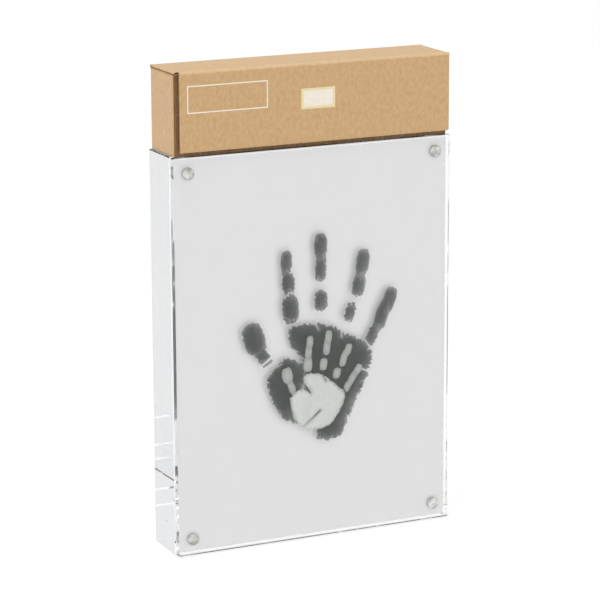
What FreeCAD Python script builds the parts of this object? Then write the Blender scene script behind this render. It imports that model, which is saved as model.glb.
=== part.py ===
"""Magnetic acrylic display frame with a painted handprint keepsake and its kit carton.

A clear front plate is held by four pairs of disc magnets to a thick clear block, with a
white card between them. Two handprints in paint lie on the plate's outer face. The folded
carton of the kit stands on top, with its two paint bottles and a foam brush inside.

Millimetres, +Z up, -Y is the front, and the origin is the middle of the frame's foot.
"""

import FreeCAD, Part
import math
import os
import re

import Sketcher

VECTOR = FreeCAD.Vector
LEFT = "-1"
RIGHT = "1"

# Driving sizes, in millimetres: name, value, what it measures
SIZES = [
    ("block_width", 152.4, "width of the plate and of the block"),
    ("block_height", 203.2, "height of the plate and of the block"),
    ("plate_thickness", 4.76, "clear front plate"),
    ("block_thickness", 26.3, "clear rear block"),
    ("edge_bevel", 0.5, "polished bevel on every acrylic edge"),
    ("card_thickness", 0.5, "white card between plate and block"),
    ("card_gap", 0.1, "air on each side of the card"),
    ("card_inset", 1.5, "card edge behind the acrylic edge"),
    ("magnet_inset", 8.2, "magnet centre from the two nearest acrylic edges"),
    ("magnet_diameter", 6.0, "disc magnet"),
    ("magnet_length", 3.0, "disc magnet"),
    ("magnet_bevel", 0.25, "plated rim of a magnet"),
    ("magnet_recess", 0.05, "magnet face below the mating face"),
    ("glue_gap", 0.05, "radial room round a magnet"),
    ("film_thickness", 0.12, "dried paint"),
    ("adult_print_height", 109.0, "wrist end to middle fingertip"),
    ("adult_print_rise", 50.0, "foot of the frame to the wrist end"),
    ("baby_print_height", 52.0, "wrist end to middle fingertip"),
    ("baby_print_rise", 57.0, "foot of the frame to the wrist end"),
    ("board", 1.5, "corrugated board"),
    ("carton_inset", 1.2, "carton's end behind the acrylic's side"),
    ("carton_back_inset", 0.26, "carton's back before the acrylic's back"),
    ("wall_height", 40.4, "carton wall"),
    ("rest_gap", 0.1, "frame top to carton foot"),
    ("flap_room", 1.6, "front flap to front wall"),
    ("wall_room", 0.1, "end of the front wall to an end panel's inner face"),
    ("flap_rise", 2.2, "carton foot to the flap's lower edge"),
    ("flap_short", 2.5, "how far the flap is cut back at its left end"),
    ("lid_gap", 0.1, "lid to wall edges and along its creases"),
    ("fold_radius", 2.2, "outside of the upright fold at a carton end's back"),
    ("fold_return", 3.0, "end panel's turn into the back wall's line"),
    ("bottle_diameter", 22.0, "paint bottle"),
    ("end_room", 11.9, "free room between the last bottle and the carton's right end"),
    ("shoulder_length", 5.0, "bottle shoulder"),
    ("bottle_wall", 1.0, "bottle plastic"),
    ("neck_diameter", 11.0, "bottle neck"),
    ("neck_length", 9.0, "bottle neck"),
    ("fill_drop", 2.0, "neck's rim to the paint"),
    ("cap_diameter", 16.0, "screw cap"),
    ("cap_length", 12.0, "screw cap"),
    ("cap_top", 1.6, "closed end of a cap"),
    ("cap_bevel", 0.8, "rim of a cap"),
    ("cap_room", 0.3, "cap to neck and to shoulder"),
    ("content_gap", 1.5, "between the loose things in the carton"),
    ("seat_gap", 0.1, "under a thing that lies on another"),
    ("handle_diameter", 6.0, "foam brush handle"),
    ("handle_length", 95.0, "foam brush handle"),
    ("handle_bevel", 0.8, "ends of the handle"),
    ("handle_grip", 14.0, "length of handle inside the foam"),
    ("handle_room", 0.05, "radial room of the handle in the foam"),
    ("foam_length", 36.0, "foam head"),
    ("foam_width", 21.0, "foam head"),
    ("foam_height", 10.0, "foam head at the handle"),
    ("foam_tip", 3.0, "foam head at its chisel tip"),
]

# Sizes and places that follow from the driving ones
DERIVED = {
    "frame_depth": "plate_thickness + 2 * card_gap + card_thickness + block_thickness",
    "front_face": "0 - frame_depth / 2",
    "plate_middle": "front_face + plate_thickness / 2",
    "plate_back": "front_face + plate_thickness",
    "block_front": "frame_depth / 2 - block_thickness",
    "block_middle": "frame_depth / 2 - block_thickness / 2",
    "card_front": "plate_back + card_gap",
    "magnet_radius": "magnet_diameter / 2",
    "magnet_side": "block_width / 2 - magnet_inset",
    "magnet_low": "magnet_inset",
    "magnet_high": "block_height - magnet_inset",
    "pocket_depth": "magnet_length + magnet_recess",
    "pocket_radius": "magnet_radius + glue_gap",
    "carton_width": "block_width - 2 * carton_inset",
    "carton_depth": "frame_depth - carton_back_inset",
    "flap_width": "carton_width - flap_short",
    "carton_foot": "block_height + rest_gap",
    "carton_floor": "carton_foot + board",
    "wall_top": "carton_foot + wall_height",
    "lid_under": "wall_top + lid_gap",
    "lid_top": "lid_under + board",
    "tray_front": "front_face + board + flap_room",
    "tray_back": "front_face + carton_depth",
    "tray_depth": "carton_depth - board - flap_room",
    "tray_middle": "tray_front + tray_depth / 2",
    "end_face": "carton_width / 2",
    "front_wall_width": "carton_width - 2 * board - 2 * wall_room",
    "back_wall_width": "carton_width - 2 * fold_return",
    "bottle_radius": "bottle_diameter / 2",
    "neck_radius": "neck_diameter / 2",
    "cap_radius": "cap_diameter / 2",
    "bottle_row": "carton_width - 2 * board - end_room",
    "bottle_reach": "(bottle_row - 3 * content_gap) / 2",
    "bottle_length": "bottle_reach - shoulder_length - cap_room - cap_length",
    "bottle_axis": "carton_floor + seat_gap + bottle_radius",
    "first_base": "0 - end_face + board + content_gap",
    "second_base": "first_base + bottle_reach + content_gap",
    "foam_low": "bottle_axis + bottle_radius + seat_gap",
    "brush_axis": "foam_low + foam_height / 2",
    "foam_end": "first_base + foam_length",
}

# One row for each pad of a print: across and up, half width, half length, all as shares of
# the print's height, and the pad's lean to the right in degrees
ADULT_PAD_SHARES = [
    (-0.083, 0.487, 0.083, 0.078, 0),
    (0.050, 0.500, 0.092, 0.078, 0),
    (0.178, 0.450, 0.092, 0.074, 12),
    (0.020, 0.330, 0.165, 0.150, 0),
    (0.155, 0.280, 0.112, 0.185, 8),
    (0.080, 0.120, 0.098, 0.118, 12),
    (-0.118, 0.265, 0.118, 0.172, -22),
    (-0.045, 0.160, 0.080, 0.105, -14),
    (-0.312, 0.514, 0.056, 0.112, -19),
    (-0.149, 0.856, 0.040, 0.080, -3),
    (-0.142, 0.735, 0.037, 0.062, -4),
    (-0.131, 0.638, 0.043, 0.054, -6),
    (0.021, 0.919, 0.039, 0.083, 1),
    (0.015, 0.811, 0.037, 0.052, 0),
    (0.019, 0.681, 0.038, 0.054, 1),
    (0.242, 0.828, 0.038, 0.077, 11),
    (0.219, 0.730, 0.036, 0.052, 11),
    (0.172, 0.611, 0.036, 0.049, 14),
    (0.369, 0.646, 0.037, 0.063, 21),
    (0.335, 0.558, 0.033, 0.048, 21),
    (0.299, 0.476, 0.035, 0.048, 22),
]
BABY_PAD_SHARES = [
    (0.020, 0.375, 0.270, 0.190, 0),
    (-0.105, 0.215, 0.165, 0.205, -14),
    (0.130, 0.220, 0.170, 0.185, 14),
    (-0.300, 0.560, 0.070, 0.125, -15),
    (-0.085, 0.855, 0.060, 0.102, -2),
    (-0.090, 0.668, 0.058, 0.080, -2),
    (0.115, 0.892, 0.060, 0.104, 8),
    (0.086, 0.692, 0.058, 0.088, 8),
    (0.312, 0.746, 0.058, 0.100, 20),
    (0.248, 0.577, 0.056, 0.080, 20),
    (0.427, 0.525, 0.052, 0.088, 30),
    (0.358, 0.408, 0.050, 0.070, 30),
]

SIZE_NAMES = {name for name, _, _ in SIZES}

doc = FreeCAD.newDocument("HandprintFrame")
sheet = doc.addObject("Spreadsheet::Sheet", "Sizes")
pieces = []


def fill_sheet():
    """Write one row for each driving size and give its value cell the size's name."""
    for row, (name, size, note) in enumerate(SIZES, start=1):
        sheet.set(f"A{row}", name)
        sheet.set(f"B{row}", str(size))
        sheet.set(f"C{row}", note)
        sheet.setAlias(f"B{row}", name)
    doc.recompute()


def bound(text):
    """Turn size names in an expression into references to the sheet."""

    def swap(found):
        word = found.group(0)
        if word in DERIVED:
            return f"({bound(DERIVED[word])})"
        return f"Sizes.{word}" if word in SIZE_NAMES else word

    return re.sub(r"[a-z_]+", swap, text)


def value(text):
    """Work out an expression of size names as a number."""

    def swap(found):
        word = found.group(0)
        if word in DERIVED:
            return f"({value(DERIVED[word])})"
        return str(float(sheet.get(word)))

    return FreeCAD.Units.Quantity(re.sub(r"[a-z_]+", swap, text)).Value


def place(thing, across, deep, up):
    """Bind the position of a document object to three expressions."""
    for axis, text in (("x", across), ("y", deep), ("z", up)):
        thing.setExpression(f"Placement.Base.{axis}", bound(text))


def new_body(label):
    """Start a body whose label names a piece."""
    body = doc.addObject("PartDesign::Body", label)
    body.Label = label
    pieces.append(body)
    return body


def plane_of(body, role):
    """Find one of the body's own origin planes."""
    return next(item for item in body.Origin.OriginFeatures if item.Role == role)


def new_sketch(body, name, role):
    """Start a sketch on one of the body's own origin planes."""
    sketch = body.newObject("Sketcher::SketchObject", name)
    sketch.AttachmentSupport = [(plane_of(body, role), "")]
    sketch.MapMode = "FlatFace"
    return sketch


def pin_point(sketch, shape, end, name, across, up):
    """Dimension one point of a sketch from the sketch's origin."""
    for kind, letter, text in (("DistanceX", "X", across), ("DistanceY", "Y", up)):
        rule = Sketcher.Constraint(kind, -1, 1, shape, end, value(text))
        index = sketch.addConstraint(rule)
        sketch.renameConstraint(index, f"{name}{letter}")
        sketch.setExpression(f"Constraints.{name}{letter}", bound(text))


def draw_outline(sketch, points):
    """Draw a closed outline with straight sides and dimension each corner."""
    corners = [VECTOR(value(across), value(up), 0) for across, up in points]
    count = len(corners)
    sides = [Part.LineSegment(corners[i], corners[(i + 1) % count]) for i in range(count)]
    sketch.addGeometry(sides, False)
    sketch.addConstraint(
        [Sketcher.Constraint("Coincident", i, 2, (i + 1) % count, 1) for i in range(count)]
    )
    for i, (across, up) in enumerate(points):
        pin_point(sketch, i, 1, f"corner{i}", across, up)


def padded(label, role, points, length):
    """Pad a straight-sided outline by the same length to both sides of its plane."""
    body = new_body(label)
    sketch = new_sketch(body, f"{label}_outline", role)
    draw_outline(sketch, points)
    pad = body.newObject("PartDesign::Pad", f"{label}_pad")
    pad.Profile = sketch
    pad.SideType = "Symmetric"
    pad.setExpression("Length", bound(length))
    doc.recompute()
    return body


def turned(label, points):
    """Turn an outline, given as radius and height, about the body's own Z axis."""
    body = new_body(label)
    sketch = new_sketch(body, f"{label}_section", "XZ_Plane")
    draw_outline(sketch, points)
    turn = body.newObject("PartDesign::Revolution", f"{label}_turn")
    turn.Profile = sketch
    turn.ReferenceAxis = (sketch, ["V_Axis"])
    turn.Angle = 360
    doc.recompute()
    return body


def dressed(body, kind, size, chosen):
    """Add a fillet or a chamfer of a bound size on the edges that a test picks."""
    before = body.Tip
    names = [f"Edge{i}" for i, edge in enumerate(before.Shape.Edges, start=1) if chosen(edge)]
    finish = body.newObject(f"PartDesign::{kind}", f"{body.Label}_{kind.lower()}{len(names)}")
    finish.Base = (before, names)
    finish.setExpression("Radius" if kind == "Fillet" else "Size", bound(size))
    doc.recompute()


def is_straight(edge):
    """Tell whether an edge is a straight line."""
    return isinstance(edge.Curve, Part.Line)


def runs_up(edge):
    """Tell whether an edge is a straight line along Z."""
    return is_straight(edge) and abs(edge.tangentAt(edge.FirstParameter).z) > math.sqrt(0.5)


def stands_at(edge, across, deep):
    """Tell whether an edge runs up at a given place in the body's own plan."""
    foot = edge.Vertexes[0]
    places = ((foot.X, value(across)), (foot.Y, value(deep)))
    return runs_up(edge) and all(math.isclose(is_at, to_be, rel_tol=1e-6) for is_at, to_be in places)


def panel(label, width, depth, height, across, deep, up):
    """Make a flat board panel from its size and its lowest corner."""
    box = doc.addObject("Part::Box", label)
    box.Label = label
    box.setExpression("Length", bound(width))
    box.setExpression("Width", bound(depth))
    box.setExpression("Height", bound(height))
    place(box, across, deep, up)
    pieces.append(box)


def acrylic_slab(label, thickness, middle, pocket_side):
    """Make the plate or the block, with four magnet pockets in its mating face.

    pocket_side is 1 where the mating face is the front one and -1 where it is the back one.
    """
    half_width = "block_width / 2"
    half_height = "block_height / 2"
    outline = [
        (f"0 - {half_width}", f"0 - {half_height}"),
        (half_width, f"0 - {half_height}"),
        (half_width, half_height),
        (f"0 - {half_width}", half_height),
    ]
    body = padded(label, "XZ_Plane", outline, thickness)
    dressed(body, "Chamfer", "edge_bevel", is_straight)
    whole = body.Shape.Volume
    holes = new_sketch(body, f"{label}_holes", "XZ_Plane")
    holes.setExpression("AttachmentOffset.Base.z", bound(f"{pocket_side} * {thickness} / 2"))
    across = "block_width / 2 - magnet_inset"
    up = "block_height / 2 - magnet_inset"
    corners = [(x_sign, z_sign) for x_sign in (LEFT, RIGHT) for z_sign in (LEFT, RIGHT)]
    for i, (x_sign, z_sign) in enumerate(corners):
        centre = VECTOR(value(f"{x_sign} * ({across})"), value(f"{z_sign} * ({up})"), 0)
        holes.addGeometry(Part.Circle(centre, VECTOR(0, 0, 1), value("pocket_radius")), False)
        pin_point(holes, i, 3, f"hole{i}", f"{x_sign} * ({across})", f"{z_sign} * ({up})")
        rule = holes.addConstraint(Sketcher.Constraint("Radius", i, value("pocket_radius")))
        holes.renameConstraint(rule, f"radius{i}")
        holes.setExpression(f"Constraints.radius{i}", bound("pocket_radius"))
    pocket = body.newObject("PartDesign::Pocket", f"{label}_pockets")
    pocket.Profile = holes
    pocket.Reversed = pocket_side < 0
    pocket.setExpression("Length", bound("pocket_depth"))
    place(body, "0", middle, "block_height / 2")
    doc.recompute()
    cut = len(corners) * math.pi * value("pocket_radius") ** 2 * value("pocket_depth")
    if abs(whole - body.Shape.Volume - cut) > cut / 100:
        raise RuntimeError(f"{label}: the pockets did not cut")


def magnet(label, across, face, up):
    """Make one bevelled disc magnet with its axis along Y, from its nearest face."""
    rim = "magnet_radius - magnet_bevel"
    section = [
        ("0", "0"),
        (rim, "0"),
        ("magnet_radius", "magnet_bevel"),
        ("magnet_radius", "magnet_length - magnet_bevel"),
        (rim, "magnet_length"),
        ("0", "magnet_length"),
    ]
    body = turned(label, section)
    body.Placement.Rotation = FreeCAD.Rotation(VECTOR(1, 0, 0), -90)
    place(body, across, face, up)


def magnet_set():
    """Place four magnets in the plate and four in the block, face to face through the card."""
    faces = {
        "front": "plate_back - magnet_recess - magnet_length",
        "rear": "block_front + magnet_recess",
    }
    for row, face in faces.items():
        for level, up in (("top", "magnet_high"), ("bottom", "magnet_low")):
            for side, sign in (("left", LEFT), ("right", RIGHT)):
                magnet(f"{row}_magnet_{level}_{side}", f"{sign} * magnet_side", face, up)


def backing_card():
    """Make the white card that slides between plate and block."""
    panel(
        "backing_card",
        "block_width - 2 * card_inset",
        "card_thickness",
        "block_height - 2 * card_inset",
        "card_inset - block_width / 2",
        "card_front",
        "card_inset",
    )


def handprint(label, pad_shares, print_height, rise, layer):
    """Make one print as a film of elliptical pads, merged where they meet.

    layer counts the films under this one.
    """
    tall = value(print_height)
    thick = value("film_thickness")
    films = []
    for across, up, half_width, half_length, lean in pad_shares:
        long_radius = max(half_width, half_length) * tall
        short_radius = min(half_width, half_length) * tall
        ellipse = Part.Ellipse(VECTOR(0, 0, 0), long_radius, short_radius)
        turn = 90 - lean if half_length > half_width else -lean
        face = Part.Face(Part.Wire(ellipse.toShape()))
        face.rotate(VECTOR(0, 0, 0), VECTOR(0, 0, 1), turn)
        face.translate(VECTOR(across * tall, up * tall, 0))
        films.append(face.extrude(VECTOR(0, 0, thick)))
    film = doc.addObject("Part::Feature", label)
    film.Label = label
    film.Shape = films[0].multiFuse(films[1:]).removeSplitter()
    spot = VECTOR(0, value("front_face") - layer * thick, value(rise))
    film.Placement = FreeCAD.Placement(spot, FreeCAD.Rotation(VECTOR(1, 0, 0), 90))
    pieces.append(film)


def carton_end(label, side):
    """Make one end panel, cut square at the front and folded into the back."""
    inner = f"{side} * (end_face - board)"
    outer = f"{side} * end_face"
    turn = f"{side} * (end_face - fold_return)"
    outline = [
        (outer, "0"),
        (inner, "0"),
        (inner, "tray_depth - board"),
        (turn, "tray_depth - board"),
        (turn, "tray_depth"),
        (outer, "tray_depth"),
    ]
    body = padded(label, "XY_Plane", outline, "wall_height")
    dressed(body, "Fillet", "fold_radius", lambda edge: stands_at(edge, outer, "tray_depth"))
    dressed(body, "Fillet", "fold_radius - board",
            lambda edge: stands_at(edge, inner, "tray_depth - board"))
    place(body, "0", "tray_front", "carton_foot + wall_height / 2")


def carton_bottom():
    """Make the bottom panel, which fits inside the folds of the walls."""
    half_width = "end_face - board"
    half_depth = "tray_depth / 2 - board"
    outline = [
        (f"0 - ({half_width})", f"0 - ({half_depth})"),
        (half_width, f"0 - ({half_depth})"),
        (half_width, half_depth),
        (f"0 - ({half_width})", half_depth),
    ]
    body = padded("carton_bottom", "XY_Plane", outline, "board")
    dressed(body, "Fillet", "fold_radius - board", runs_up)
    place(body, "0", "tray_middle", "carton_foot + board / 2")


def carton_tray():
    """Make the fixed walls and the bottom of the carton."""
    carton_bottom()
    carton_end("carton_left_end", LEFT)
    carton_end("carton_right_end", RIGHT)
    panel("carton_front_wall", "front_wall_width", "board", "wall_height",
          "0 - front_wall_width / 2", "tray_front", "carton_foot")
    back = [
        ("tray_back - board", "carton_foot"),
        ("tray_back", "carton_foot"),
        ("tray_back", "lid_top - lid_gap"),
        ("tray_back - board", "lid_under - lid_gap"),
    ]
    padded("carton_back_wall", "YZ_Plane", back, "back_wall_width")


def carton_cover():
    """Make the lid panel and the front flap, mitred where they fold about their outer edges."""
    lid = [
        ("front_face", "lid_top"),
        ("front_face + board", "lid_under"),
        ("tray_back - board", "lid_under"),
        ("tray_back", "lid_top"),
    ]
    padded("carton_lid", "YZ_Plane", lid, "carton_width")
    flap = [
        ("front_face", "lid_top - lid_gap"),
        ("front_face", "carton_foot + flap_rise"),
        ("front_face + board", "carton_foot + flap_rise"),
        ("front_face + board", "lid_under - lid_gap"),
    ]
    front = padded("carton_front_flap", "YZ_Plane", flap, "flap_width")
    place(front, "flap_short / 2", "0", "0")


def lie_along_x(body, start, level):
    """Lay a turned piece along +X in the middle of the carton."""
    body.Placement.Rotation = FreeCAD.Rotation(VECTOR(0, 1, 0), 90)
    place(body, start, "tray_middle", level)


def paint_bottle(colour, base):
    """Make one bottle, the paint in it and its screw cap, lying on the carton's bottom."""
    neck_end = "bottle_length + shoulder_length + neck_length"
    bore = "neck_radius - bottle_wall"
    inside = "bottle_radius - bottle_wall"
    shoulder = "bottle_length + shoulder_length"
    shell = [
        ("0", "0"),
        ("bottle_radius", "0"),
        ("bottle_radius", "bottle_length"),
        ("neck_radius", shoulder),
        ("neck_radius", neck_end),
        (bore, neck_end),
        (bore, shoulder),
        (inside, "bottle_length"),
        (inside, "bottle_wall"),
        ("0", "bottle_wall"),
    ]
    lie_along_x(turned(f"paint_bottle_{colour}", shell), base, "bottle_axis")
    fill = [
        ("0", "bottle_wall"),
        (inside, "bottle_wall"),
        (inside, "bottle_length"),
        (bore, shoulder),
        (bore, f"{neck_end} - fill_drop"),
        ("0", f"{neck_end} - fill_drop"),
    ]
    lie_along_x(turned(f"paint_fill_{colour}", fill), base, "bottle_axis")
    cap_foot = f"{shoulder} + cap_room"
    cap_end = f"{cap_foot} + cap_length"
    cap_bore = "neck_radius + cap_room"
    cap = [
        (cap_bore, cap_foot),
        ("cap_radius", cap_foot),
        ("cap_radius", f"{cap_end} - cap_bevel"),
        ("cap_radius - cap_bevel", cap_end),
        ("0", cap_end),
        ("0", f"{cap_end} - cap_top"),
        (cap_bore, f"{cap_end} - cap_top"),
    ]
    lie_along_x(turned(f"paint_cap_{colour}", cap), base, "bottle_axis")


def foam_brush():
    """Make the foam brush that lies on the bottles, chisel tip to the left."""
    foam = [
        ("first_base", "brush_axis - foam_tip / 2"),
        ("foam_end", "foam_low"),
        ("foam_end", "foam_low + foam_height"),
        ("first_base", "brush_axis + foam_tip / 2"),
    ]
    body = padded("brush_foam", "XZ_Plane", foam, "foam_width")
    bore = new_sketch(body, "brush_foam_bore", "YZ_Plane")
    bore.setExpression("AttachmentOffset.Base.z", bound("foam_end"))
    centre = VECTOR(0, value("brush_axis"), 0)
    radius = "handle_diameter / 2 + handle_room"
    bore.addGeometry(Part.Circle(centre, VECTOR(0, 0, 1), value(radius)), False)
    pin_point(bore, 0, 3, "bore", "0", "brush_axis")
    bore.addConstraint(Sketcher.Constraint("Radius", 0, value(radius)))
    bore.renameConstraint(bore.ConstraintCount - 1, "bore_radius")
    bore.setExpression("Constraints.bore_radius", bound(radius))
    pocket = body.newObject("PartDesign::Pocket", "brush_foam_pocket")
    pocket.Profile = bore
    pocket.setExpression("Length", bound("handle_grip"))
    place(body, "0", "tray_middle", "0")
    thin = "handle_diameter / 2 - handle_bevel"
    handle = [
        ("0", "0"),
        (thin, "0"),
        ("handle_diameter / 2", "handle_bevel"),
        ("handle_diameter / 2", "handle_length - handle_bevel"),
        (thin, "handle_length"),
        ("0", "handle_length"),
    ]
    lie_along_x(turned("brush_handle", handle), "foam_end - handle_grip", "brush_axis")


def export_pieces():
    """Check every object of the document and write one STEP file for each piece."""
    doc.recompute()
    failed = [item.Name for item in doc.Objects if {"Invalid", "Error"} & set(item.State)]
    if failed:
        raise RuntimeError(f"objects that failed: {failed}")
    os.makedirs("parts", exist_ok=True)
    for piece in pieces:
        shape = piece.Shape
        if shape.isNull() or not shape.isValid() or not shape.Solids:
            raise RuntimeError(f"{piece.Label}: no valid solid")
        shape.exportStep(os.path.join("parts", f"{piece.Label}.step"))
        print(f"{piece.Label}: {len(shape.Solids)} solid, {shape.Volume:.1f} mm3")


fill_sheet()
acrylic_slab("rear_block", "block_thickness", "block_middle", 1)
acrylic_slab("front_plate", "plate_thickness", "plate_middle", -1)
magnet_set()
backing_card()
handprint("adult_handprint", ADULT_PAD_SHARES, "adult_print_height", "adult_print_rise", 0)
handprint("baby_handprint", BABY_PAD_SHARES, "baby_print_height", "baby_print_rise", 1)
carton_tray()
carton_cover()
paint_bottle("dark", "first_base")
paint_bottle("light", "second_base")
foam_brush()
export_pieces()
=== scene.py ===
"""Looks of a clear magnetic frame with two painted handprints and its kit carton.

Everything is in metres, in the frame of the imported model: +Z is up and -Y is the front.
"""

import logging
import math
from collections.abc import Callable, Sequence
from dataclasses import dataclass
from enum import Enum

import bmesh
import bpy
import numpy as np
from bmesh.types import BMesh, BMFace, BMVert
from bpy.types import Material, Mesh, Node, NodeSocket, Object, World
from mathutils import Matrix, Quaternion, Vector, noise


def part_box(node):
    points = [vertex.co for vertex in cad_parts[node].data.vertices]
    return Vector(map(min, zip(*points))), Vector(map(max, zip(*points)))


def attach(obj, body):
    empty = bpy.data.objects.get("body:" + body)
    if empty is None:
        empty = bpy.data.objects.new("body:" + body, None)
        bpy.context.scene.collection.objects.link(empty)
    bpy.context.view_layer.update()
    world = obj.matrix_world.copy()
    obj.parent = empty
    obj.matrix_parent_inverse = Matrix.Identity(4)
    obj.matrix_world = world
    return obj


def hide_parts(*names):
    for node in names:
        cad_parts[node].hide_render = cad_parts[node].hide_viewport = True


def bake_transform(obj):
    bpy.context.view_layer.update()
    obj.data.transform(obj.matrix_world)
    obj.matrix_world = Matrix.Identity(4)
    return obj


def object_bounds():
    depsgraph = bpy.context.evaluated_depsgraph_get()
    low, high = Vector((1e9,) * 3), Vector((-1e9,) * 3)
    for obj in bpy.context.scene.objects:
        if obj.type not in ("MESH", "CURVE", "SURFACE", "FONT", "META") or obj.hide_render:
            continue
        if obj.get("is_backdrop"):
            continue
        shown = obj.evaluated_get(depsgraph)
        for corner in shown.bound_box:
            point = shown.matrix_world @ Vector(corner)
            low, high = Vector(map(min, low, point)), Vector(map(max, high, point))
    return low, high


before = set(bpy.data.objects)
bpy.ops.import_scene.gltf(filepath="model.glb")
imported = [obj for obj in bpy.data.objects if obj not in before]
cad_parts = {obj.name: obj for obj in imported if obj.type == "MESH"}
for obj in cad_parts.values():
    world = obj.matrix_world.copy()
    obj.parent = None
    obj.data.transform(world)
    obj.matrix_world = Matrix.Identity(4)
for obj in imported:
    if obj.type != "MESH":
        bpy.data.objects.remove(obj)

Pair = tuple[float, float]
Triple = tuple[float, float, float]
Colour = Triple

MM = 0.001
UP = Vector((0, 0, 1))
ACROSS = Vector((1, 0, 0))
BACKWARD = Vector((0, 1, 0))
# The slope that parts a piece's flat faces from its sides
DIAGONAL = math.sqrt(0.5)

log = logging.getLogger("handprint_frame")


class Side(Enum):
    """The left or the right of the object, seen from its front."""

    LEFT = -1
    RIGHT = 1


class Graph:
    """The nodes of a material or of the world, added and joined in short calls."""

    def __init__(self, owner: Material | World, shader: str = "Principled BSDF") -> None:
        """Start from the nodes that are there at first.

        Args:
            owner: The material or the world.
            shader: The name of its main shader.
        """
        owner.use_nodes = True
        self.owner = owner
        self.nodes = owner.node_tree.nodes
        self.links = owner.node_tree.links
        self.shader = self.nodes[shader]

    def put(self, value: NodeSocket | float | Sequence[float], socket: NodeSocket) -> None:
        """Link an output to an input, or give the input a plain value.

        Args:
            value: The output or the value.
            socket: The input.
        """
        if isinstance(value, NodeSocket):
            self.links.new(value, socket)
        else:
            socket.default_value = value

    def fill(self, node: Node, inputs: dict[str, NodeSocket | float | Sequence[float]]) -> None:
        """Put outputs and values into inputs that are named with underscores for spaces."""
        for name, value in inputs.items():
            self.put(value, node.inputs[name.replace("_", " ")])

    def add(self, kind: str, **inputs: NodeSocket | float | Sequence[float]) -> Node:
        """Add a node.

        Args:
            kind: The node's type, without the ShaderNode in front.
            inputs: What goes into it, as in fill.

        Returns:
            The node.
        """
        node = self.nodes.new(f"ShaderNode{kind}")
        self.fill(node, inputs)
        return node

    def set(self, **inputs: NodeSocket | float | Sequence[float]) -> None:
        """Put outputs and values into the main shader, as in fill."""
        self.fill(self.shader, inputs)

    def noise(self, per_metre: float, detail: float = 2, stretch: Triple = (1, 1, 1)) -> NodeSocket:
        """Add a noise pattern.

        Args:
            per_metre: How many features fit in a metre.
            detail: How many finer layers it has.
            stretch: Scale along each axis; under 1 draws the features out.

        Returns:
            The pattern, from 0 to 1.
        """
        own = self.add("TexCoord").outputs["Object"]
        place = self.add("Mapping", Vector=own, Scale=stretch).outputs["Vector"]
        return self.add("TexNoise", Vector=place, Scale=per_metre, Detail=detail).outputs["Fac"]

    def cells(self, per_metre: float) -> NodeSocket:
        """Add a pattern of rounded cells and give the distance to each cell's middle."""
        own = self.add("TexCoord").outputs["Object"]
        return self.add("TexVoronoi", Vector=own, Scale=per_metre).outputs["Distance"]

    def attribute(self, name: str) -> NodeSocket:
        """Read a number that the mesh holds at each of its points.

        Args:
            name: The attribute's name.

        Returns:
            The number.
        """
        reader = self.add("Attribute")
        reader.attribute_name = name
        return reader.outputs["Fac"]

    def ranged(self, source: NodeSocket, span: Pair, given: Pair = (0, 1)) -> NodeSocket:
        """Map a pattern from one range to another, held at both ends.

        Args:
            source: The pattern.
            span: Its values at the two ends.
            given: What is given for them.

        Returns:
            The mapped pattern.
        """
        ends = {"From_Min": span[0], "From_Max": span[1], "To_Min": given[0], "To_Max": given[1]}
        return self.add("MapRange", Value=source, **ends).outputs["Result"]

    def math(self, operation: str, first: NodeSocket, second: NodeSocket) -> NodeSocket:
        """Work out one number from two.

        Args:
            operation: The operation's name, such as MULTIPLY.
            first: The first number.
            second: The second number.

        Returns:
            The result.
        """
        node = self.add("Math")
        node.operation = operation
        self.put(first, node.inputs[0])
        self.put(second, node.inputs[1])
        return node.outputs[0]

    def mix(
        self, factor: NodeSocket, first: NodeSocket | Colour, second: NodeSocket | Colour
    ) -> NodeSocket:
        """Mix two colours.

        Args:
            factor: 0 for the first colour and 1 for the second.
            first: A colour, or an output that gives one.
            second: A colour, or an output that gives one.

        Returns:
            The mixed colour.
        """
        mixer = self.add("Mix")
        mixer.data_type = "RGBA"
        # A mixer of colours has them at its inputs 6 and 7, and the mixed one at its output 2
        self.put(factor, mixer.inputs[0])
        for socket, colour in ((mixer.inputs[6], first), (mixer.inputs[7], second)):
            self.put(colour if isinstance(colour, NodeSocket) else (*colour, 1), socket)
        return mixer.outputs[2]

    def bump(self, height: NodeSocket, depth: float) -> None:
        """Press a pattern into the surface, to a depth in metres."""
        self.set(Normal=self.add("Bump", Height=height, Distance=depth).outputs["Normal"])


@dataclass(frozen=True)
class Finish:
    """What every finish shares: a name, and the start and end of making its material."""

    name: str

    def make(self) -> Material:
        """Build the material.

        Returns:
            The material.
        """
        graph = Graph(bpy.data.materials.new(self.name))
        self.paint(graph)
        return graph.owner

    def paint(self, graph: Graph) -> None:
        """Set the main shader, each finish in its own way."""
        raise NotImplementedError


@dataclass(frozen=True)
class ClearAcrylic(Finish):
    """Cast acrylic with polished faces, faintly grey through its whole width."""

    refraction: float = 1.49
    polish: float = 0.0
    tint: Colour = (0.905, 0.912, 0.916)
    tint_per_metre: float = 15.0

    def paint(self, graph: Graph) -> None:
        """Make the faces clear and tint what lies between them.

        Args:
            graph: The material's nodes.
        """
        graph.set(IOR=self.refraction, Roughness=self.polish, Transmission_Weight=1.0)
        graph.set(Base_Color=(1, 1, 1, 1))
        tinted = graph.add("VolumeAbsorption", Color=(*self.tint, 1), Density=self.tint_per_metre)
        graph.put(tinted.outputs["Volume"], graph.nodes["Material Output"].inputs["Volume"])


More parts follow.
